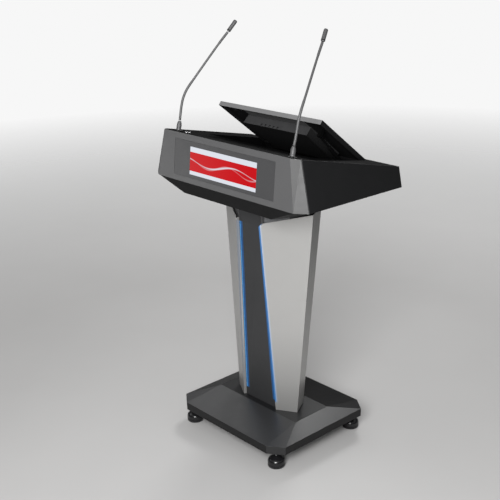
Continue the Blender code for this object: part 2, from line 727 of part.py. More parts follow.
def make_monitor():
    frame = monitor_frame()
    pivot = monitor_pivot()
    half, long, wall = MONITOR_HALF_X, MONITOR_LONG, MONITOR_WALL
    skins = []
    for edge in (0, wall):
        side, far = half - edge, long - edge
        outline = ((-side, edge), (side, edge), (side, far), (-side, far))
        skins.append([[frame @ Vector((x, y, z)) for x, y in outline] for z in (-MONITOR_T, 0)])
    rim = sleeve("monitor_frame", *skins, STEEL_GREY)
    spare = wall + GAP
    plate_z = (-MONITOR_T + MONITOR_LIP, -MONITOR_T + MONITOR_LIP + BACK_PLATE_T)
    low = (-half + spare, spare, plate_z[0])
    box("monitor_back", frame, low, (half - spare, long - spare, plate_z[1]), STEEL_DARK)
    edge = 0.012
    low = (-half + edge, edge, plate_z[1] + GAP)
    box("display_panel", frame, low, (half - edge, long - edge, GLASS_Z[0] - GAP), BLACK)
    low = (-half + spare, spare, GLASS_Z[0])
    box("touch_glass", frame, low, (half - spare, long - spare, GLASS_Z[1]), GLASS_BLACK)
    outlines = (
        (((0.160, HOUSING_FRONT), (0.150, 0.2560)), -MONITOR_T - HOUSING_DEPTH),
        (((0.158, HOUSING_FRONT + 0.004), (0.150, 0.2580)), plate_z[0] - GAP),
    )
    rings = []
    for ((front, v0), (rear, v1)), z in outlines:
        ring = ((-front, v0), (front, v0), (rear, v1), (-rear, v1))
        rings.append([frame @ Vector((x, y, z)) for x, y in ring])
    housing = loft("monitor_housing", rings, STEEL_GREY)
    for number in range(VENT_COUNT):
        x = VENT_FIRST_X + number * VENT_PITCH
        low = (x, HOUSING_FRONT - 0.010, -MONITOR_T - 0.0210)
        high = (x + VENT_W, HOUSING_FRONT + VENT_DEPTH, -MONITOR_T - 0.0140)
        cut(housing, box(f"housing_vent_{number}", frame, low, high, BLACK))

    for name, side in both_sides("hinge_bracket"):
        inner, outer = MONITOR_HALF_X + 0.0012, WELL_HALF_X - GAP
        low = (min(side * inner, side * outer), -0.012, -0.030)
        high = (max(side * inner, side * outer), 0.012, 0.0065)
        hinge_at = frame_at(pivot, DECK_NORMAL)
        bracket = box(name, hinge_at, low, high, GALVANISED)
        start, end = MONITOR_HALF_X - wall, MONITOR_HALF_X + 0.003
        pin_at = frame_at(pivot, X_AXIS * side, DECK_DOWN)
        pin = lathe(f"{name}_pin", pin_at, ((PIN_R, start), (PIN_R, end)), GALVANISED, 16)
        join(bracket, pin)
        bore = ((PIN_R + 0.00008, start - 0.002), (PIN_R + 0.00008, end))
        cut(rim, lathe(f"{name}_bore", pin_at, bore, GALVANISED, 16))
    for made in ("monitor_frame", "monitor_back", "display_panel", "touch_glass", "monitor_housing"):
        move_origin(bpy.data.objects[made], pivot)


def move_origin(made, pivot):
    shift = Vector(pivot) - made.location
    made.data.transform(Matrix.Translation(-shift))
    made.location = Vector(pivot)


def stay_points():
    """Foot pivot on the well floor and head pivot under the monitor, in the X = 0 plane."""
    foot = deck_frame(0, STAY_FOOT_Y, -WELL_DEPTH + STAY_FOOT_UP).translation
    along, down = monitor_axes()
    head = monitor_pivot() - along * STAY_REACH + down * STAY_DROP
    return foot, head


def make_stay():
    """Telescopic stay on the right: tube, rod, and the pins at its two ends."""
    foot, head = (point + X_AXIS * STAY_X for point in stay_points())
    run = (head - foot).normalized()
    length = (head - foot).length
    at = frame_at(foot, run)
    across = Matrix.Rotation(math.radians(90), 4, "Y")
    eye = ((STAY_EYE_R, -STAY_EYE_HALF), (STAY_EYE_R, STAY_EYE_HALF))
    profile = ((0.005, 0.004), (STAY_TUBE_R, 0.012), (STAY_TUBE_R, 0.122), (0.0055, 0.126))
    tube = lathe("stay_tube", at, profile, BLACK, 16, foot)
    join(tube, lathe("tube_eye", at @ across, eye, BLACK, 16))
    cut(tube, lathe("tube_bore", at, ((STAY_ROD_R + GAP, 0.035), (STAY_ROD_R + GAP, 0.14)), BLACK, 16))
    bore = ((PIN_R + 0.00008, -0.02), (PIN_R + 0.00008, 0.02))
    cut(tube, lathe("tube_pivot", at @ across, bore, BLACK, 16))

    profile = ((STAY_ROD_R, 0.062), (STAY_ROD_R, length - 0.004))
    rod = lathe("stay_rod", at, profile, BLACK, 16, foot)
    head_at = frame_at(head, run)
    join(rod, lathe("rod_eye", head_at @ across, eye, BLACK, 16))
    loose = PIN_R + STAY_LOOSE
    cut(rod, lathe("rod_pivot", head_at @ across, ((loose, -0.02), (loose, 0.02)), BLACK, 16))

    inner, outer = STAY_TUBE_R + 0.0006, STAY_TUBE_R + 0.0036
    low, high = (inner, -0.008, -STAY_FOOT_UP + GAP), (outer, 0.008, 0.006)
    anchor = box("stay_anchor", frame_at(foot, DECK_NORMAL), low, high, STEEL_DARK)
    pin = ((PIN_R, -STAY_EYE_HALF - 0.001), (PIN_R, outer - 0.001))
    join(anchor, lathe("anchor_pin", frame_at(foot, X_AXIS, run), pin, STEEL_DARK, 16))

    inner, outer = STAY_EYE_HALF + 0.0006, STAY_EYE_HALF + 0.0036
    drop = STAY_DROP - MONITOR_T / 2
    low, high = (inner, -0.007, -0.005), (outer, 0.007, drop + MONITOR_LIP - GAP)
    lug = box("stay_lug", frame_at(head, -monitor_axes()[1]), low, high, STEEL_DARK)
    pin = ((PIN_R, -STAY_EYE_HALF - 0.001), (PIN_R, outer - 0.001))
    join(lug, lathe("lug_pin", frame_at(head, X_AXIS, run), pin, STEEL_DARK, 16))


# ---------------------------------------------------------------- microphones


def smooth_route(points, steps):
    """Catmull-Rom curve through hand-placed points."""
    padded = [points[0] * 2 - points[1]] + list(points) + [points[-1] * 2 - points[-2]]
    route = []
    for i in range(1, len(padded) - 2):
        before, start, end, after = padded[i - 1 : i + 3]
        for step in range(steps):
            t = step / steps
            slope = (end - before) * t + (before * 2 - start * 5 + end * 4 - after) * t * t
            route.append((start * 2 + slope + (start * 3 - before - end * 3 + after) * t**3) / 2)
    route.append(points[-1])
    return route


def make_microphone(side_name, side):
    base = deck_frame(side * MIC_BASE[0], MIC_BASE[1], -DECK_SINK)
    flange = ((0.0072, -0.0180), (0.0072, GAP), (0.0155, GAP), (0.0155, 0.0022), (0.0130, 0.0034))
    lathe(f"mic_socket_{side_name}", base, flange, BLACK, 20, base.translation)
    radius = MIC_SLEEVE_R
    start = 0.0034 + GAP
    sleeve = (
        (radius, start),
        (radius, MIC_SLEEVE_L - 0.010),
        (radius - 0.0012, MIC_SLEEVE_L - 0.008),
        (MIC_NECK_R + 0.0006, MIC_SLEEVE_L),
    )
    lathe(f"mic_sleeve_{side_name}", base, sleeve, BLACK, 16, base.translation)
    first = base @ Vector((0, 0, MIC_SLEEVE_L + MIC_BEND_GAP))
    route = smooth_route([first] + [mirrored(side, p) for p in MIC_ROUTE], 5)
    curve = bpy.data.curves.new(f"mic_neck_{side_name}", "CURVE")
    curve.dimensions = "3D"
    curve.bevel_depth = MIC_NECK_R
    curve.bevel_resolution = 2
    curve.use_fill_caps = True
    spline = curve.splines.new("POLY")
    spline.points.add(len(route) - 1)
    for point, place in zip(spline.points, route):
        point.co = (*(place - first), 1)
    curve.materials.append(material(BLACK))
    neck = bpy.data.objects.new(f"mic_neck_{side_name}", curve)
    neck.location = first
    bpy.context.scene.collection.objects.link(neck)

    end = route[-1]
    run = mirrored(side, MIC_TIP) - end
    at = frame_at(end, run)
    gap = MIC_BEND_GAP + 0.0008
    radius = MIC_CAPSULE_R
    profile = (
        (MIC_NECK_R, gap),
        (MIC_NECK_R + 0.0004, gap + 0.005),
        (radius, gap + 0.009),
        (radius, run.length - 0.004),
        (radius - 0.0025, run.length),
    )
    lathe(f"mic_capsule_{side_name}", at, profile, BLACK, 16, end)


make_base()
make_feet()
make_wings()
make_front_panel()
make_rear()
make_mast()
make_head_shell()
make_front_display()
make_deck()
make_monitor()
make_stay()
make_microphone("left", -1)
make_microphone("right", 1)

for placed in bpy.data.objects:
    placed.location.y -= ORIGIN_Y
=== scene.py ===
"""Looks of the digital lectern: finishes, rounded edges, microphones, feet, lit display, light, camera.

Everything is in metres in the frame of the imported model: +Z up, the audience at -Y, the speaker at +Y.
"""

import json
import math

import bmesh
import bpy
from mathutils import Matrix, Vector


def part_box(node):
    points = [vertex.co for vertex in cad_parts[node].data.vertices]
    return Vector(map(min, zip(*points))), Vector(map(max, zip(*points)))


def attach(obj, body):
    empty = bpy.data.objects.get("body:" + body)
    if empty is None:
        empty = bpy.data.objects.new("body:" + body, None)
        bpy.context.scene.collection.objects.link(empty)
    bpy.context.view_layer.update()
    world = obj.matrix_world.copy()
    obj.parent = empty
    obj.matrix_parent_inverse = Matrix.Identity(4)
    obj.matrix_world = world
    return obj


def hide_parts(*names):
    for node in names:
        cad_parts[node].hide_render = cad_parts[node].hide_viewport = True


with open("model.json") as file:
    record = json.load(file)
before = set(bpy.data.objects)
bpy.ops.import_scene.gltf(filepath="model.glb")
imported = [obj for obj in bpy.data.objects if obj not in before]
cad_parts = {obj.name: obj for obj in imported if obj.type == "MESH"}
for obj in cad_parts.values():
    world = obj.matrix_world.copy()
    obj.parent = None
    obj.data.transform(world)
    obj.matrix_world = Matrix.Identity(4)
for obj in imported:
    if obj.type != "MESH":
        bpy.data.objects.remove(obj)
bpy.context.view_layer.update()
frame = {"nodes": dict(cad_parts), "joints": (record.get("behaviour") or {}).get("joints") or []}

NODES = frame["nodes"]
JOINTS = {joint["name"]: joint for joint in frame["joints"]}
X_AXIS = Vector((1, 0, 0))

# Camera at the photograph's viewing angle
CAMERA_PLACE = (2.3657, -2.2315, 1.8703)
CAMERA_TURN = 0.8388
CAMERA_PITCH = 0.3417
CAMERA_ROLL = -0.0225
CAMERA_LENS = 67.91

# Floor: its colour, and the distances from the origin between which it fades out
FLOOR_COLOUR = (0.55, 0.545, 0.54)
FLOOR_FADE = (1.6, 6.5)
# World light: lowest and highest strength, and the heights of direction between them
WORLD_LIGHT = (0.02, 0.40, 0.36, 0.72)
BACKDROP = (0.93, 0.93, 0.93)
# Softboxes: place, target, size and power
LIGHTS = {
    "key_softbox": ((1.85, -2.50, 2.05), (0, 0, 0.90), (1.4, 1.4), 126),
    "rear_softbox": ((-1.35, 2.50, 3.00), (0.1, 0, 0.1), (1.0, 1.0), 46),
    "head_softbox": ((-1.01, -0.78, 0.87), (-0.38, -0.24, 1.05), (0.5, 0.5), 1.2),
    "left_softbox": ((-2.90, 1.40, 2.70), (0, 0, 0.2), (1.4, 1.2), 6.0),
}

# Gooseneck centreline on the right, above its foot
NECK_ROUTE = (
    (0.2918, -0.1656, 1.1950),
    (0.2926, -0.1577, 1.2284),
    (0.2910, -0.1485, 1.2584),
    (0.2867, -0.1320, 1.2884),
    (0.2760, -0.1008, 1.3284),
    (0.2472, -0.0213, 1.4284),
    (0.2325, 0.0196, 1.4764),
)
NECK_R = 0.0044
NECK_RIB = 0.0005
NECK_RIB_PITCH = 0.0042
NECK_LOW_FLEX = 0.150
NECK_HIGH_FLEX = 0.050
CAPSULE_R = 0.0072
CAPSULE_DOME = 0.0050
GRILLE_PITCH = 0.0032
GRILLE_DEPTH = 0.0006
SLEEVE_R = 0.0088
SIDE_SIGNS = {"left": -1, "right": 1}

FOOT_PAD_R = 0.0315
THREAD_R = 0.005
THREAD_PITCH = 0.0016
THREAD_DEPTH = 0.0006

# Rounded edges: radius, least angle of a fold, and distance at which points are welded
EDGE_ROUND = 0.0008
EDGE_ANGLE = math.radians(28)
WELD_REACH = 0.00002

# Textures, by their number of waves in a metre
CLOUD_SCALE = 5.0
GLOSS_SCALE = 38.0
PEEL_SCALE = 1400
BRUSH_SCALE = 90.0
FLOW_SCALE = 30.0
SHEEN_SCALE = 120.0
SPARK_SCALE = 2200
WIPE_SCALE = 9.0
LAMP_SCALE = 60.0
FLOOR_SCALE = 1.5
PEEL_DEPTH = 0.0002
GRAIN_DEPTH = 0.0001

# Faces are told apart by the parts of their normals; one finish fades to another between each pair. Most
# pairs place painted shade and painted light: shade on faces that look down, on the fascia's chamfers and
# on the base's rear slope, light on the panel's sides and the base's front slope.
HEAD_SHADE_FADE = (-0.28, -0.10)
BASE_SHADE_FADE = (0.05, 0.40)
HOUSING_SHADE_FADE = (0.20, 0.55)
UNSHADED_CORNER_SLANT = (0.30, 0.40)
PANEL_SIDE_LIGHT_FADE = (0.85, 0.95)
CHAMFER_SHADE_FADE = (0.40, 0.60)
PLATEAU_UP = (0.992, 0.998)
FRONT_SLOPE_LIGHT_UP = (0.90, 0.95)
FRONT_SLOPE_LIGHT_AHEAD = (-0.12, -0.06)
REAR_SLOPE_SHADE_BEHIND = (0.06, 0.12)
RETURN_BEHIND = (0.38, 0.44)
RETURN_SIDE = (0.70, 0.80)
RIM_FACING = (0.55, 0.70)

# Wings: paint, its two fades with height, and how dark they end; both fades are painted: a painted
# reflection of the dark base low on the sheet, and painted shade from the head high on the returns
WING_COLOUR = (0.46, 0.457, 0.448)
WING_REFLECTION_FADE = (0.12, 0.45)
WING_REFLECTION_TINT = 0.72
RETURN_SHADE_FADE = (0.25, 0.80)
RETURN_SHADE_TINT = 0.52

# Monitor: directions down its slope and out of its glass, its paints, how deep the rim's grey goes,
# and the grey band on its plate, painted light that stands in for the lit face of the housing: depth from
# the raised edge and half width, with their soft ends
MONITOR_TILT = math.radians(38.28)
MONITOR_DOWN = Vector((0, math.cos(MONITOR_TILT), -math.sin(MONITOR_TILT)))
MONITOR_OUT = Vector((0, math.sin(MONITOR_TILT), math.cos(MONITOR_TILT)))
RIM_GREY = (0.26, 0.26, 0.263)
RIM_BLACK = (0.010, 0.010, 0.0105)
PLATE_LIT_BAND_GREY = (0.098, 0.098, 0.0995)
RIM_SKIN = (0.0025, 0.0015)
BAND_DEPTH = 0.062
BAND_DEPTH_SOFT = 0.003
BAND_HALF_X = 0.150
BAND_SIDE_SOFT = 0.004

# Light strips: width, the part of it where the outer edge turns bright, and the two tones
STRIP_W = 0.014
STRIP_TURN = (0.40, 0.25)
STRIP_DEEP = (0.008, 0.052, 0.165)
STRIP_BRIGHT = (0.060, 0.240, 0.520)

# Painted glow of the strip on the right wing's edge, emitted by the wing itself beside a painted deep blue
# rim: width, the parts of it in which the deep blue rim and the glow end, how softly both start beside the
# strip's foot, colour, strength, and the rim's colour
PAINTED_GLOW_W = 0.010
PAINTED_RIM_SPAN = (0.35, 0.50)
PAINTED_GLOW_SPAN = (0.50, 1.00)
PAINTED_GLOW_SOFT = 0.004
PAINTED_GLOW_COLOUR = (0.10, 0.32, 0.70)
PAINTED_GLOW_STRENGTH = 0.35
PAINTED_RIM_COLOUR = (0.030, 0.100, 0.250)

# Lit part of the front display, where its red field starts and ends, and its colours
SCREEN_HALF_X = 0.1710
SCREEN_HALF_Z = 0.0487
SCREEN_BANDS = (0.145, 0.830)
SCREEN_RED = (0.575, 0.000, 0.004)
SCREEN_PALE = (0.720, 0.750, 0.820)
RIBBON_SOFT = 0.012
RIBBON_SWELL = 0.6
# Waves, phase, middle height, swing, half width and strength of each ribbon
SCREEN_RIBBONS = (
    (1.6, 0.6, 0.47, 0.13, 0.020, 0.30),
    (1.3, 0.1, 0.50, 0.11, 0.018, 0.85),
)

# Colour sockets of a Mix node
MIX_FIRST = 6
MIX_SECOND = 7
MIX_RESULT = 2


# ---------------------------------------------------------------- node helpers


def principled(name, roughness=0.4, metallic=0.0, colour=(0.5, 0.5, 0.5)):
    """A new material and its Principled shader."""
    made = bpy.data.materials.new(name)
    made.use_nodes = True
    shader = made.node_tree.nodes["Principled BSDF"]
    shader.inputs["Base Color"].default_value = (*colour, 1)
    shader.inputs["Roughness"].default_value = roughness
    shader.inputs["Metallic"].default_value = metallic
    return made, shader


def add(tree, kind, **settings):
    node = tree.nodes.new(kind)
    for key, value in settings.items():
        setattr(node, key, value)
    return node


def noise(tree, scale, detail=3.0, stretch=(1, 1, 1)):
    """Noise in metres on the object, with its own scale per axis; gives the Fac socket."""
    place = add(tree, "ShaderNodeTexCoord")
    mapping = add(tree, "ShaderNodeMapping")
    mapping.inputs["Scale"].default_value = stretch
    texture = add(tree, "ShaderNodeTexNoise")
    texture.inputs["Scale"].default_value = scale
    texture.inputs["Detail"].default_value = detail
    tree.links.new(place.outputs["Object"], mapping.inputs["Vector"])
    tree.links.new(mapping.outputs["Vector"], texture.inputs["Vector"])
    return texture.outputs["Fac"]


def spread(tree, source, low, high, from_low=0.3, from_high=0.7):
    """Maps a range of the source, by default its middle, to low..high."""
    node = add(tree, "ShaderNodeMapRange")
    node.inputs["From Min"].default_value = from_low
    node.inputs["From Max"].default_value = from_high
    node.inputs["To Min"].default_value = low
    node.inputs["To Max"].default_value = high
    tree.links.new(source, node.inputs["Value"])
    return node.outputs["Result"]


def two_tone(tree, source, dark, light):
    """Colour between dark and light by the source's middle range."""
    ramp = add(tree, "ShaderNodeValToRGB")
    ramp.color_ramp.elements[0].position = 0.3
    ramp.color_ramp.elements[0].color = (*dark, 1)
    ramp.color_ramp.elements[1].position = 0.7
    ramp.color_ramp.elements[1].color = (*light, 1)
    tree.links.new(source, ramp.inputs["Fac"])
    return ramp.outputs["Color"]


def math_node(tree, operation, first, second=None, third=None):
    """One Math node; each input is a socket or a number."""
    node = add(tree, "ShaderNodeMath", operation=operation)
    for place, value in enumerate((first, second, third)):
        if isinstance(value, (int, float)):
            node.inputs[place].default_value = value
        elif value is not None:
            tree.links.new(value, node.inputs[place])
    return node.outputs[0]


def coordinates(tree, source):
    """X, Y and Z of a texture coordinate: places ("Object"), normals or the world's directions."""
    place = add(tree, "ShaderNodeTexCoord")
    split = add(tree, "ShaderNodeSeparateXYZ")
    tree.links.new(place.outputs[source], split.inputs["Vector"])
    return split.outputs["X"], split.outputs["Y"], split.outputs["Z"]


def reach(tree, source, direction):
    """How far the object's places, or its normals, reach in a direction."""
    place = add(tree, "ShaderNodeTexCoord")
    dot = add(tree, "ShaderNodeVectorMath", operation="DOT_PRODUCT")
    tree.links.new(place.outputs[source], dot.inputs[0])
    dot.inputs[1].default_value = direction
    return dot.outputs["Value"]


def blend(tree, share, first, second):
    """From the first colour to the second by the share; each is a socket or a colour."""
    mix = add(tree, "ShaderNodeMix", data_type="RGBA")
    tree.links.new(share, mix.inputs["Factor"])
    for socket, colour in ((MIX_FIRST, first), (MIX_SECOND, second)):
        if isinstance(colour, tuple):
            mix.inputs[socket].default_value = (*colour, 1)
        else:
            tree.links.new(colour, mix.inputs[socket])
    return mix.outputs[MIX_RESULT]


def tint(colour, factor):
    return tuple(c * factor for c in colour)


def grain_bump(tree, shader, source, strength, depth):
    bump = add(tree, "ShaderNodeBump")
    bump.inputs["Strength"].default_value = strength
    bump.inputs["Distance"].default_value = depth
    tree.links.new(source, bump.inputs["Height"])
    tree.links.new(bump.outputs["Normal"], shader.inputs["Normal"])


def coated_metal(name, colour, roughness, metallic=0.0, mottling=0.06, bump=0.15, level=0.5):
    """Painted or powder-coated sheet: fine orange peel, faint cloudiness and uneven gloss."""
    made, shader = principled(name, roughness, metallic)
    tree = made.node_tree
    cloud = noise(tree, CLOUD_SCALE, 4.0)
    base = two_tone(tree, cloud, tint(colour, 1 - mottling), tint(colour, 1 + mottling))
    tree.links.new(base, shader.inputs["Base Color"])
    rough = spread(tree, noise(tree, GLOSS_SCALE, 5.0), roughness * 0.93, roughness * 1.07)
    tree.links.new(rough, shader.inputs["Roughness"])
    grain_bump(tree, shader, noise(tree, PEEL_SCALE, 2.0), bump, PEEL_DEPTH)
    shader.inputs["Specular IOR Level"].default_value = level
    return made


def brushed_metal(name, colour, roughness, stretch=(1, 1, 30), bump=0.08):
    """Bare metal with fine lines across the stretched axis."""
    made, shader = principled(name, roughness, 1.0)
    tree = made.node_tree
    lines = noise(tree, BRUSH_SCALE, 4.0, stretch)
    base = two_tone(tree, lines, tint(colour, 0.88), tint(colour, 1.1))
    tree.links.new(base, shader.inputs["Base Color"])
    rough = spread(tree, lines, roughness - 0.05, roughness + 0.07)
    tree.links.new(rough, shader.inputs["Roughness"])
    grain_bump(tree, shader, lines, bump, GRAIN_DEPTH)
    return made


def moulded_plastic(name, colour, roughness, bump=0.1, level=0.5):
    """Injection-moulded plastic with a fine spark-eroded texture."""
    made, shader = principled(name, roughness)
    tree = made.node_tree
    base = two_tone(tree, noise(tree, FLOW_SCALE, 3.0), tint(colour, 0.92), tint(colour, 1.08))
    tree.links.new(base, shader.inputs["Base Color"])
    rough = spread(tree, noise(tree, SHEEN_SCALE, 3.0), roughness - 0.03, roughness + 0.05)
    tree.links.new(rough, shader.inputs["Roughness"])
    grain_bump(tree, shader, noise(tree, SPARK_SCALE, 1.0), bump, GRAIN_DEPTH)
    shader.inputs["Specular IOR Level"].default_value = level
    return made


def dark_glass(name, colour, roughness):
    """Black cover glass with faint wiping marks in its gloss."""
    made, shader = principled(name, roughness, 0.0, colour)
    tree = made.node_tree
    smears = noise(tree, WIPE_SCALE, 6.0, (1, 3, 1))
    tree.links.new(spread(tree, smears, roughness * 0.7, roughness * 1.8), shader.inputs["Roughness"])
    base = two_tone(tree, smears, tint(colour, 0.85), tint(colour, 1.15))
    tree.links.new(base, shader.inputs["Base Color"])
    shader.inputs["Coat Weight"].default_value = 0.5
    shader.inputs["Coat Roughness"].default_value = 0.04
    return made


# ---------------------------------------------------------------- mesh helpers


def frame_at(point, z_axis):
    """Local frame at a point, with its z axis given and its x axis towards the frame's."""
    z = Vector(z_axis).normalized()
    x = (X_AXIS - z * X_AXIS.dot(z)).normalized()
    turn = Matrix((x, z.cross(x), z)).transposed()
    return Matrix.Translation(Vector(point)) @ turn.to_4x4()


def piece(name, rings, body, material, replaces=(), slot=None, sharp=35):
    """Closed piece lofted through rings of equally many points. It rides on a body."""
    count = len(rings[0])
    points = [p for ring in rings for p in ring]
    faces = []
    for level in range(len(rings) - 1):
        low = level * count
        for i in range(count):
            j = (i + 1) % count
            faces.append((low + i, low + j, low + count + j, low + count + i))
    faces.append(tuple(range(count))[::-1])
    faces.append(tuple(range(len(points) - count, len(points))))
    mesh = bpy.data.meshes.new(name)
    mesh.from_pydata([tuple(p) for p in points], [], faces)
    work = bmesh.new()
    work.from_mesh(mesh)
    bmesh.ops.recalc_face_normals(work, faces=work.faces)
    work.to_mesh(mesh)
    work.free()
    mesh.materials.append(material)
    mesh.shade_smooth()
    mesh.set_sharp_from_angle(angle=math.radians(sharp))
    made = bpy.data.objects.new(name, mesh)
    bpy.context.scene.collection.objects.link(made)
    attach(made, body)
    if replaces:
        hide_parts(*replaces)
    return made


def lathe(name, at, profile, body, material, sides=40, **options):
    """Solid of revolution about the frame's z axis from (radius, z) points."""
    rings = []
    for radius, z in profile:
        turns = [2 * math.pi * i / sides for i in range(sides)]
        rings.append([at @ Vector((radius * math.cos(t), radius * math.sin(t), z)) for t in turns])
    return piece(name, rings, body, material, **options)


def sweep(name, route, radii, body, material, sides=20, **options):
    """Tube along a route with its own radius at each point."""
    rings = []
    side = None
    for i, point in enumerate(route):
        ahead = route[min(i + 1, len(route) - 1)] - route[max(i - 1, 0)]
        along = ahead.normalized()
        side = side or along.orthogonal()
        side = (side - along * side.dot(along)).normalized()
        other = along.cross(side)
        turns = [2 * math.pi * k / sides for k in range(sides)]
        rings.append([point + (side * math.cos(t) + other * math.sin(t)) * radii[i] for t in turns])
    return piece(name, rings, body, material, **options)


def smooth_route(points, steps):
    """Catmull-Rom curve through the points."""
    padded = [points[0] * 2 - points[1]] + list(points) + [points[-1] * 2 - points[-2]]
    route = []
    for i in range(1, len(padded) - 2):
        before, start, end, after = padded[i - 1 : i + 3]
        for step in range(steps):
            t = step / steps
            slope = (end - before) * t + (before * 2 - start * 5 + end * 4 - after) * t * t
            route.append((start * 2 + slope + (start * 3 - before - end * 3 + after) * t**3) / 2)
    route.append(points[-1])
    return route


def evenly(route, spacing):
    """Points along a route at an even spacing."""
    marks = [0.0]
    for a, b in zip(route, route[1:]):
        marks.append(marks[-1] + (b - a).length)
    total = marks[-1]
    count = round(total / spacing)
    made = []
    at = 0
    for k in range(count + 1):
        want = total * k / count
        while at < len(route) - 2 and marks[at + 1] < want:
            at += 1
        share = (want - marks[at]) / (marks[at + 1] - marks[at])
        made.append(route[at].lerp(route[at + 1], share))
    return made, total


def round_edges(node):
    """Small radius on a CAD node's folds and cut edges."""
    made = NODES[node]
    weld = made.modifiers.new("weld", "WELD")
    weld.merge_threshold = WELD_REACH
    bevel = made.modifiers.new("edge_round", "BEVEL")
    bevel.width = EDGE_ROUND
    bevel.segments = 2
    bevel.limit_method = "ANGLE"
    bevel.angle_limit = EDGE_ANGLE
    bevel.harden_normals = True


def finish_node(node, material):
    slots = NODES[node].data.materials
    slots.clear()
    slots.append(material)


# ---------------------------------------------------------------- finishes


def repaint(made, share, colour, level=None):
    """Changes the paint, and its gloss level if given, where the share is one."""
    tree = made.node_tree
    shader = tree.nodes["Principled BSDF"]
    paint = shader.inputs["Base Color"]
    tree.links.new(blend(tree, share, paint.links[0].from_socket, colour), paint)
    if level is None:
        return
    gloss = shader.inputs["Specular IOR Level"]
    mixed = spread(tree, share, gloss.default_value, level, 0.0, 1.0)
    if gloss.is_linked:
        tree.links.new(gloss.links[0].from_socket, mixed.node.inputs["To Min"])
    tree.links.new(mixed, gloss)


def paint_shade_below(made, colour, level, fade, keep_corners=False):
    """Paints shade on the faces that look down, darker and duller there; the outline's cut corners may be
    kept out of the painted shade.
    """
    tree = made.node_tree
    x, y, z = coordinates(tree, "Normal")
    kept = spread(tree, z, 0.0, 1.0, *fade)
    if keep_corners:
        slant = math_node(tree, "ABSOLUTE", math_node(tree, "MULTIPLY", x, y))
        kept = math_node(tree, "MAXIMUM", kept, spread(tree, slant, 0.0, 1.0, *UNSHADED_CORNER_SLANT))
    repaint(made, math_node(tree, "SUBTRACT", 1.0, kept), colour, level)


def paint_shading_on_sides(made, colour, fade):
    """Paints the faces that look to the left or to the right in another tone: painted light where it is
    paler, painted shade where it is darker.
    """
    tree = made.node_tree
    x, _, _ = coordinates(tree, "Normal")
    repaint(made, spread(tree, math_node(tree, "ABSOLUTE", x), 0.0, 1.0, *fade), colour)


def base_finish(name):
    """Base cover: painted shade on the rim and the rear slope, a duller plateau, and painted light on the
    front slope; the cut corners are kept out of the painted shade.
    """
    made = coated_metal(name, (0.013, 0.0132, 0.014), 0.37, bump=0.03, level=0.60)
    # painted shade: the rim and the other faces that look down are darker, but not the cut corners
    paint_shade_below(made, (0.008, 0.008, 0.0084), 0.22, BASE_SHADE_FADE, keep_corners=True)
    tree = made.node_tree
    _, y, z = coordinates(tree, "Normal")
    repaint(made, spread(tree, z, 0.0, 1.0, *PLATEAU_UP), (0.013, 0.0132, 0.014), 0.32)
    # painted light: the front slope is paler
    ahead = spread(tree, y, 1.0, 0.0, *FRONT_SLOPE_LIGHT_AHEAD)
    slope = math_node(tree, "MULTIPLY", ahead, spread(tree, z, 0.0, 1.0, *FRONT_SLOPE_LIGHT_UP))
    repaint(made, slope, (0.029, 0.0294, 0.0308))
    # painted shade: the rear slope is darker and duller
    repaint(made, spread(tree, y, 0.0, 1.0, *REAR_SLOPE_SHADE_BEHIND), (0.007, 0.007, 0.0074), 0.15)
    return made


def wing_finish(name):
    """Silver sheet with a painted reflection of the dark base, darker towards the floor; its return has
    painted shade from the head instead, darker upwards.
    """
    made = coated_metal(name, WING_COLOUR, 0.40, metallic=0.45, mottling=0.02, bump=0.06)
    tree = made.node_tree
    _, _, height = coordinates(tree, "Object")
    # painted reflection of the dark base: the sheet is darker towards the floor
    repaint(made, spread(tree, height, 1.0, 0.0, *WING_REFLECTION_FADE), tint(WING_COLOUR, WING_REFLECTION_TINT))
    x, y, _ = coordinates(tree, "Normal")
    aside = spread(tree, math_node(tree, "ABSOLUTE", x), 0.0, 1.0, *RETURN_SIDE)
    turned = math_node(tree, "MULTIPLY", spread(tree, y, 0.0, 1.0, *RETURN_BEHIND), aside)
    # the return gets back its plain paint, then painted shade from the head makes it darker upwards
    repaint(made, turned, WING_COLOUR)
    high = math_node(tree, "MULTIPLY", turned, spread(tree, height, 0.0, 1.0, *RETURN_SHADE_FADE))
    repaint(made, high, tint(WING_COLOUR, RETURN_SHADE_TINT))
    return made


SHELL_COLOUR = (0.012, 0.0122, 0.0128)
dark_shell = coated_metal("dark_shell", SHELL_COLOUR, 0.50, level=0.30)
head_coat = coated_metal("head_coat", SHELL_COLOUR, 0.50, level=0.30)
# painted shade: the head's faces that look down are darker and duller
paint_shade_below(head_coat, (0.006, 0.006, 0.0063), 0.12, HEAD_SHADE_FADE)
deck_coat = coated_metal("deck_coat", (0.0050, 0.0050, 0.0054), 0.62, level=0.02)
base_coat = base_finish("base_coat")
panel_coat = coated_metal("panel_coat", (0.034, 0.0345, 0.036), 0.45, level=0.35)
# painted light: the panel's returned sides, which sit in shade, are paler
paint_shading_on_sides(panel_coat, (0.13, 0.13, 0.133), PANEL_SIDE_LIGHT_FADE)
fascia_coat = coated_metal("fascia_coat", (0.098, 0.098, 0.100), 0.45, level=0.40, mottling=0.04)
# painted shade: the fascia's side chamfers are darker
paint_shading_on_sides(fascia_coat, (0.062, 0.062, 0.0625), CHAMFER_SHADE_FADE)
bezel_coat = coated_metal("bezel_coat", (0.057, 0.057, 0.059), 0.36, level=0.45, mottling=0.03)
shroud_coat = coated_metal("shroud_coat", (0.19, 0.19, 0.194), 0.50, level=0.30)
wing_coat = wing_finish("wing_coat")
stay_coat = coated_metal("stay_coat", (0.004, 0.004, 0.0042), 0.60, level=0.04)
button_coat = coated_metal("button_coat", (0.78, 0.78, 0.79), 0.30, metallic=0.2, bump=0.02)
housing_plastic = moulded_plastic("housing_plastic", (0.055, 0.055, 0.0565), 0.50, level=0.25)
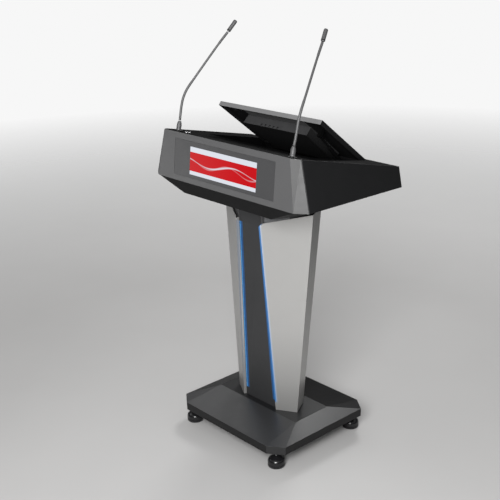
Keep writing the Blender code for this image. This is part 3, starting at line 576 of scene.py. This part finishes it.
# painted shade: the housing's faces that look down are darker and duller
paint_shade_below(housing_plastic, (0.016, 0.016, 0.0165), 0.06, HOUSING_SHADE_FADE)
case_plastic = moulded_plastic("case_plastic", (0.075, 0.075, 0.077), 0.45)
zinc_plate = brushed_metal("zinc_plate", (0.50, 0.51, 0.52), 0.35)
stem_steel = brushed_metal("stem_steel", (0.10, 0.10, 0.102), 0.42)
black_plastic = moulded_plastic("black_plastic", (0.012, 0.012, 0.013), 0.38)
foot_plastic = moulded_plastic("foot_plastic", (0.010, 0.010, 0.011), 0.20, bump=0.03)
mic_coat = coated_metal("mic_coat", (0.135, 0.135, 0.137), 0.48, metallic=0.3, mottling=0.03, bump=0.05)
bright_metal = brushed_metal("bright_metal", (0.75, 0.75, 0.76), 0.16, (1, 1, 1), bump=0.02)
touch_cover = dark_glass("touch_cover", (0.004, 0.004, 0.005), 0.06)

NODE_FINISH = {
    "base_cover": base_coat,
    "base_plate": dark_shell,
    "front_panel": panel_coat,
    "rear_panel": dark_shell,
    "rear_door": dark_shell,
    "door_hinge_lower": dark_shell,
    "door_hinge_upper": dark_shell,
    "neck_shroud": shroud_coat,
    "head_shell": head_coat,
    "top_deck": deck_coat,
    "monitor_well": deck_coat,
    "front_fascia": fascia_coat,
    "display_bezel": bezel_coat,
    "wing_left": wing_coat,
    "monitor_housing": housing_plastic,
    "display_panel": black_plastic,
    "touch_glass": touch_cover,
    "power_supply": case_plastic,
    "computer": case_plastic,
    "power_inlet": black_plastic,
    "power_rocker": black_plastic,
    "door_lock": bright_metal,
    "push_button_1": button_coat,
    "push_button_2": button_coat,
    "stay_rod": stay_coat,
    "stay_tube": stay_coat,
    "stay_anchor": stay_coat,
    "stay_lug": stay_coat,
}
ROUNDED = (
    "base_cover",
    "front_panel",
    "rear_panel",
    "rear_door",
    "head_shell",
    "top_deck",
    "front_fascia",
    "display_bezel",
    "wing_left",
    "wing_right",
    "monitor_frame",
    "monitor_housing",
    "power_inlet",
    "power_rocker",
)


def ribbon(tree, across, height, waves, phase, middle, swing, width):
    """Share of a wavy ribbon at a place on the screen, soft at its edges."""
    angle = math_node(tree, "MULTIPLY_ADD", across, waves * math.pi, phase)
    centre = math_node(tree, "MULTIPLY_ADD", math_node(tree, "SINE", angle), swing, middle)
    away = math_node(tree, "ABSOLUTE", math_node(tree, "SUBTRACT", height, centre))
    swell = math_node(tree, "COSINE", angle)
    half = math_node(tree, "MULTIPLY_ADD", swell, width * RIBBON_SWELL, width)
    return spread(tree, math_node(tree, "SUBTRACT", half, away), 0.0, 1.0, -RIBBON_SOFT, RIBBON_SOFT)


def lit_display():
    """Lit screen: a red field between two pale bands, crossed by wavy ribbons; no lettering."""
    made, shader = principled("lit_display", 0.25, 0.0, (0.004, 0.004, 0.004))
    shader.inputs["Specular IOR Level"].default_value = 0.12
    tree = made.node_tree
    low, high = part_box("front_display")
    middle = (low.z + high.z) / 2
    x, _, z = coordinates(tree, "Object")
    height = spread(tree, z, 0.0, 1.0, middle - SCREEN_HALF_Z, middle + SCREEN_HALF_Z)
    across = spread(tree, x, -1.0, 1.0, -SCREEN_HALF_X, SCREEN_HALF_X)
    ramp = add(tree, "ShaderNodeValToRGB")
    ramp.color_ramp.interpolation = "CONSTANT"
    ramp.color_ramp.elements[0].color = (*SCREEN_PALE, 1)
    ramp.color_ramp.elements[1].position = SCREEN_BANDS[0]
    ramp.color_ramp.elements[1].color = (*SCREEN_RED, 1)
    ramp.color_ramp.elements.new(SCREEN_BANDS[1]).color = (*SCREEN_PALE, 1)
    tree.links.new(height, ramp.inputs["Fac"])
    colour = ramp.outputs["Color"]
    for waves, phase, centre, swing, width, strength in SCREEN_RIBBONS:
        share = ribbon(tree, across, height, waves, phase, centre, swing, width)
        colour = blend(tree, math_node(tree, "MULTIPLY", share, strength), colour, SCREEN_PALE)
    tree.links.new(colour, shader.inputs["Emission Color"])
    shader.inputs["Emission Strength"].default_value = 1.0
    return made


def light_diffuser():
    """Blue diffuser: brighter along its outer edge, and uneven from the row of lamps behind it."""
    made, shader = principled("light_diffuser", 0.40, 0.0, (0.010, 0.030, 0.060))
    shader.inputs["Specular IOR Level"].default_value = 0.3
    tree = made.node_tree
    low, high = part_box("light_strip_right")
    lean = (high.x - low.x - STRIP_W) / (high.z - low.z)
    outer = high.x + lean * low.z
    x, _, z = coordinates(tree, "Object")
    across = math_node(tree, "MULTIPLY_ADD", z, lean, math_node(tree, "ABSOLUTE", x))
    start, end = (outer - STRIP_W * part for part in STRIP_TURN)
    edge = spread(tree, across, 0.0, 1.0, start, end)
    lamps = spread(tree, noise(tree, LAMP_SCALE, 2.0, (0.2, 0.2, 1)), 0.85, 1.15)
    glow = blend(tree, edge, STRIP_DEEP, STRIP_BRIGHT)
    tree.links.new(glow, shader.inputs["Emission Color"])
    tree.links.new(lamps, shader.inputs["Emission Strength"])
    return made


def wing_with_painted_glow():
    """Wing finish with a painted glow of the light strip along its inner front edge: the wing emits it,
    beside a painted deep blue rim.
    """
    made = wing_finish("wing_with_painted_glow")
    tree = made.node_tree
    shader = tree.nodes["Principled BSDF"]
    low, high = front_ends("wing_right")
    lean = (high.x - low.x) / (high.z - low.z)
    x, _, z = coordinates(tree, "Object")
    edge = math_node(tree, "MULTIPLY_ADD", math_node(tree, "SUBTRACT", z, low.z), lean, low.x)
    away = math_node(tree, "SUBTRACT", x, edge)
    strip_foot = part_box("light_strip_right")[0].z
    beside = spread(tree, z, 0.0, 1.0, strip_foot - PAINTED_GLOW_SOFT, strip_foot + PAINTED_GLOW_SOFT)
    # painted deep blue rim beside the strip's foot, in the wing's paint
    rim = spread(tree, away, 1.0, 0.0, *(PAINTED_GLOW_W * part for part in PAINTED_RIM_SPAN))
    repaint(made, math_node(tree, "MULTIPLY", rim, beside), PAINTED_RIM_COLOUR)
    # painted glow: the wing's own emission along its edge stands in for the strip's light
    glow = spread(tree, away, PAINTED_GLOW_STRENGTH, 0.0, *(PAINTED_GLOW_W * part for part in PAINTED_GLOW_SPAN))
    shader.inputs["Emission Color"].default_value = (*PAINTED_GLOW_COLOUR, 1)
    tree.links.new(math_node(tree, "MULTIPLY", glow, beside), shader.inputs["Emission Strength"])
    return made


def front_ends(node, slack=0.08):
    """The lowest and the highest corner of a node's front edge, with some slack in their heights."""
    points = [vertex.co for vertex in NODES[node].data.vertices]
    ends = []
    for side in (min, max):
        level = side(point.z for point in points)
        near = [point for point in points if abs(point.z - level) < slack]
        ends.append(min(near, key=lambda point: point.y))
    return ends


def farthest(node, direction):
    """How far a node reaches in a direction."""
    return max(vertex.co.dot(direction) for vertex in NODES[node].data.vertices)


def monitor_rim():
    """Monitor's rim: light grey on the raised edge and round the glass, black inside and below."""
    made = coated_metal("monitor_rim", RIM_GREY, 0.42, metallic=0.2, mottling=0.03)
    tree = made.node_tree
    grey = []
    for direction in (-MONITOR_DOWN, MONITOR_OUT):
        edge = farthest("monitor_frame", direction)
        facing = spread(tree, reach(tree, "Normal", direction), 0.0, 1.0, *RIM_FACING)
        skin = (edge - depth for depth in RIM_SKIN)
        outermost = spread(tree, reach(tree, "Object", direction), 0.0, 1.0, *skin)
        grey.append(math_node(tree, "MULTIPLY", facing, outermost))
    black = math_node(tree, "SUBTRACT", 1.0, math_node(tree, "MAXIMUM", *grey))
    repaint(made, black, RIM_BLACK)
    return made


def monitor_plate():
    """Back plate: black, with a grey band of painted light between the raised edge and the housing,
    standing in for the lit face of the housing.
    """
    made = coated_metal("monitor_plate", PLATE_LIT_BAND_GREY, 0.60, level=0.10)
    tree = made.node_tree
    # painted light: a grey band next to the raised edge looks like the lit face of the housing
    end = BAND_DEPTH - farthest("monitor_back", -MONITOR_DOWN)
    near = spread(tree, reach(tree, "Object", MONITOR_DOWN), 1.0, 0.0, end, end + BAND_DEPTH_SOFT)
    x, _, _ = coordinates(tree, "Object")
    aside = math_node(tree, "ABSOLUTE", x)
    inside = spread(tree, aside, 1.0, 0.0, BAND_HALF_X, BAND_HALF_X + BAND_SIDE_SOFT)
    black = math_node(tree, "SUBTRACT", 1.0, math_node(tree, "MULTIPLY", near, inside))
    repaint(made, black, RIM_BLACK)
    return made


def finish_frame():
    """Gives every CAD node its finish, and some their rounded edges."""
    for node, material in NODE_FINISH.items():
        finish_node(node, material)
    for node in NODES:
        if node.startswith(("mast_", "foot_nut")):
            finish_node(node, zinc_plate)
        if node.startswith("hinge_bracket"):
            finish_node(node, stay_coat)
    finish_node("front_display", lit_display())
    finish_node("monitor_frame", monitor_rim())
    finish_node("monitor_back", monitor_plate())
    finish_node("wing_right", wing_with_painted_glow())
    diffuser = light_diffuser()
    finish_node("light_strip_left", diffuser)
    finish_node("light_strip_right", diffuser)
    for node in ROUNDED:
        round_edges(node)


# ---------------------------------------------------------------- microphones


def capsule_profile(length):
    """Capsule from its collar to its domed head, with the slits of the grille."""
    collar = CAPSULE_R - 0.0004
    profile = [(0.0046, 0.0030), (0.0052, 0.0036), (collar, 0.0052), (collar, 0.0100)]
    groove = CAPSULE_R - 0.0009
    profile += [(groove, 0.0104), (groove, 0.0110), (CAPSULE_R, 0.0114)]
    slit = CAPSULE_R - GRILLE_DEPTH
    z = 0.0114
    while z < length - 0.0120:
        profile += [(CAPSULE_R, z + 0.0018), (slit, z + 0.0021)]
        profile += [(slit, z + 0.0026), (CAPSULE_R, z + 0.0029)]
        z += GRILLE_PITCH
    shoulder = length - CAPSULE_DOME
    profile.append((CAPSULE_R, shoulder))
    for step in range(1, 7):
        turn = step * math.pi / 14
        profile.append((CAPSULE_R * math.cos(turn), shoulder + CAPSULE_DOME * math.sin(turn)))
    profile.append((0.0012, length))
    return profile


def make_socket(name, at):
    """Flat round base of the microphone, with a tail down the desk's hole."""
    profile = [(0.0070, -0.0160), (0.0070, 0.0006), (0.0150, 0.0006), (0.0155, 0.0012)]
    profile += [(0.0155, 0.0020), (0.0150, 0.0027), (0.0128, 0.0033), (0.0105, 0.0034)]
    lathe(f"{name}_ring", at, profile, "lectern", black_plastic, replaces=(name,), slot="black_plastic")


def make_sleeve(name, at):
    """Turned sleeve with two fine grooves and a tapered top."""
    r = SLEEVE_R
    profile = [(r - 0.0008, 0.0038), (r, 0.0046), (r, 0.0100), (r - 0.0007, 0.0104)]
    profile += [(r - 0.0007, 0.0112), (r, 0.0116), (r, 0.0235), (r - 0.0006, 0.0240)]
    profile += [(r - 0.0006, 0.0250), (r - 0.0002, 0.0254), (r - 0.0012, 0.0290)]
    profile += [(r - 0.0026, 0.0335), (0.0052, 0.0360)]
    lathe(f"{name}_shell", at, profile, name, mic_coat, replaces=(name,), slot="neck_steel")


def make_neck(name, foot, side):
    """Gooseneck, ribbed along its two flexible zones."""
    points = [foot] + [Vector((side * p[0], p[1], p[2])) for p in NECK_ROUTE]
    route, total = evenly(smooth_route(points, 8), NECK_RIB_PITCH / 4)
    step = total / (len(route) - 1)
    radii = []
    for i in range(len(route)):
        along = i * step
        flexible = along < NECK_LOW_FLEX or along > total - NECK_HIGH_FLEX
        wave = 0.5 - 0.5 * math.cos(2 * math.pi * along / NECK_RIB_PITCH)
        radii.append(NECK_R - NECK_RIB / 2 + NECK_RIB * wave if flexible else NECK_R - NECK_RIB)
    sweep(f"{name}_tube", route, radii, name, mic_coat, replaces=(name,), slot="neck_steel", sharp=80)


def make_capsule(name, foot):
    """Slim capsule along the CAD one, with a black ring round its collar."""
    corners = [vertex.co - foot for vertex in NODES[name].data.vertices]
    length = max(corner.length for corner in corners)
    far = [corner for corner in corners if corner.length > length - 0.001]
    along = sum(far, Vector()) / len(far)
    at = frame_at(foot, along)
    profile = capsule_profile(along.length)
    lathe(f"{name}_grille", at, profile, name, mic_coat, 28, replaces=(name,), slot="black_plastic")
    inner = CAPSULE_R - 0.0006
    outer = CAPSULE_R + 0.0001
    ring = [(inner, 0.0056), (outer, 0.0062), (outer, 0.0090), (inner, 0.0095)]
    lathe(f"{name}_ring", at, ring, name, black_plastic, 28, slot="black_plastic")


def make_microphone(side_name):
    """The four sub-parts of one microphone, placed by its joints."""
    swivel = JOINTS[f"mic_{side_name}_swivel"]
    bend = Vector(JOINTS[f"mic_{side_name}_bend"]["pos_m"])
    head = Vector(JOINTS[f"mic_{side_name}_head_bend"]["pos_m"])
    at = frame_at(swivel["pos_m"], swivel["axis"])
    make_socket(f"mic_socket_{side_name}", at)
    make_sleeve(f"mic_sleeve_{side_name}", at)
    make_neck(f"mic_neck_{side_name}", bend, SIDE_SIGNS[side_name])
    make_capsule(f"mic_capsule_{side_name}", head)


# ---------------------------------------------------------------- feet


def pad_profile():
    """Domed pad with a grip groove, as (radius, height) points."""
    r = FOOT_PAD_R
    groove = r - 0.0014
    profile = [(0.020, 0.0), (r - 0.0030, 0.0), (r - 0.0010, 0.0010), (r, 0.0030), (r, 0.0090)]
    profile += [(groove, 0.0098), (groove, 0.0112), (r, 0.0120), (r, 0.0205), (r - 0.0008, 0.0240)]
    profile += [(r - 0.0025, 0.0275), (r - 0.0060, 0.0312), (0.0205, 0.0345), (0.0150, 0.0375)]
    profile += [(0.0100, 0.0398), (0.0085, 0.0410), (0.0052, 0.0415)]
    return profile


def stem_profile(top):
    """Threaded stem from inside the pad up to its top, as (radius, height) points."""
    profile = [(THREAD_R - 0.0004, 0.0400)]
    z = 0.0420
    while z < top - 0.003:
        profile += [(THREAD_R, z), (THREAD_R - THREAD_DEPTH, z + THREAD_PITCH / 2)]
        z += THREAD_PITCH
    profile.append((THREAD_R - 2 * THREAD_DEPTH, top))
    return profile


def make_foot(node):
    """Moulded pad and steel stem of one screw foot."""
    low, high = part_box(node)
    at = Matrix.Translation(((low.x + high.x) / 2, (low.y + high.y) / 2, low.z))
    lathe(f"{node}_pad", at, pad_profile(), node, foot_plastic, 48, replaces=(node,), slot="foot_plastic")
    stem = stem_profile(high.z - low.z)
    lathe(f"{node}_stem", at, stem, node, stem_steel, 20, slot="zinc_steel")


# ---------------------------------------------------------------- light, floor, camera


def make_floor():
    """Plain pale floor that fades into the backdrop away from the object."""
    half = FLOOR_FADE[1]
    mesh = bpy.data.meshes.new("floor")
    corners = [(-half, -half, 0), (half, -half, 0), (half, half, 0), (-half, half, 0)]
    mesh.from_pydata(corners, [], [(0, 1, 2, 3)])
    floor = bpy.data.objects.new("floor", mesh)
    bpy.context.scene.collection.objects.link(floor)
    made, shader = principled("floor_paint", 0.8)
    shader.inputs["Specular IOR Level"].default_value = 0.2
    tree = made.node_tree
    tone = two_tone(tree, noise(tree, FLOOR_SCALE, 4.0), tint(FLOOR_COLOUR, 0.98), tint(FLOOR_COLOUR, 1.02))
    tree.links.new(tone, shader.inputs["Base Color"])
    place = add(tree, "ShaderNodeTexCoord")
    distance = add(tree, "ShaderNodeVectorMath", operation="LENGTH")
    tree.links.new(place.outputs["Object"], distance.inputs[0])
    share = spread(tree, distance.outputs["Value"], 0.0, 1.0, *FLOOR_FADE)
    mix = add(tree, "ShaderNodeMixShader")
    clear = add(tree, "ShaderNodeBsdfTransparent")
    tree.links.new(share, mix.inputs["Fac"])
    tree.links.new(shader.outputs["BSDF"], mix.inputs[1])
    tree.links.new(clear.outputs["BSDF"], mix.inputs[2])
    tree.links.new(mix.outputs["Shader"], tree.nodes["Material Output"].inputs["Surface"])
    mesh.materials.append(made)


def make_world():
    """Soft light that grows with height; the camera itself sees a near-white backdrop."""
    world = bpy.data.worlds.new("studio")
    world.use_nodes = True
    bpy.context.scene.world = world
    tree = world.node_tree
    _, _, height = coordinates(tree, "Generated")
    strength = spread(tree, height, *WORLD_LIGHT)
    background = tree.nodes["Background"]
    background.inputs["Color"].default_value = (1, 1, 1, 1)
    tree.links.new(strength, background.inputs["Strength"])
    backdrop = add(tree, "ShaderNodeBackground")
    backdrop.inputs["Color"].default_value = (*BACKDROP, 1)
    backdrop.inputs["Strength"].default_value = 1.0
    path = add(tree, "ShaderNodeLightPath")
    mix = add(tree, "ShaderNodeMixShader")
    tree.links.new(path.outputs["Is Camera Ray"], mix.inputs["Fac"])
    tree.links.new(background.outputs["Background"], mix.inputs[1])
    tree.links.new(backdrop.outputs["Background"], mix.inputs[2])
    tree.links.new(mix.outputs["Shader"], tree.nodes["World Output"].inputs["Surface"])


def area_light(name, place, target, size, power):
    data = bpy.data.lights.new(name, "AREA")
    data.shape = "RECTANGLE"
    data.size, data.size_y = size
    data.energy = power
    light = bpy.data.objects.new(name, data)
    light.location = place
    light.rotation_euler = (Vector(target) - Vector(place)).to_track_quat("-Z", "Y").to_euler()
    light.visible_camera = False
    bpy.context.scene.collection.objects.link(light)


def make_camera():
    """Camera turned about the vertical, pitched down and rolled about its own line of sight."""
    turn, pitch, roll = CAMERA_TURN, CAMERA_PITCH, CAMERA_ROLL
    ahead = Vector((-math.sin(turn) * math.cos(pitch), math.cos(turn) * math.cos(pitch), -math.sin(pitch)))
    right = Vector((math.cos(turn), math.sin(turn), 0))
    up = right.cross(ahead)
    tilted_right = right * math.cos(roll) + up * math.sin(roll)
    tilted_up = up * math.cos(roll) - right * math.sin(roll)
    data = bpy.data.cameras.new("camera")
    data.lens = CAMERA_LENS
    data.sensor_width = 36.0
    data.clip_end = 200.0
    camera = bpy.data.objects.new("camera", data)
    axes = Matrix((tilted_right, tilted_up, -ahead)).transposed().to_4x4()
    camera.matrix_world = Matrix.Translation(CAMERA_PLACE) @ axes
    bpy.context.scene.collection.objects.link(camera)
    bpy.context.scene.camera = camera


def make_studio():
    bpy.context.scene.view_settings.view_transform = "Standard"
    make_floor()
    make_world()
    for name, (place, target, size, power) in LIGHTS.items():
        area_light(name, place, target, size, power)
    make_camera()


finish_frame()
for side_name in SIDE_SIGNS:
    make_microphone(side_name)
for corner in ("front_left", "front_right", "back_left", "back_right"):
    make_foot(f"foot_{corner}")
make_studio()
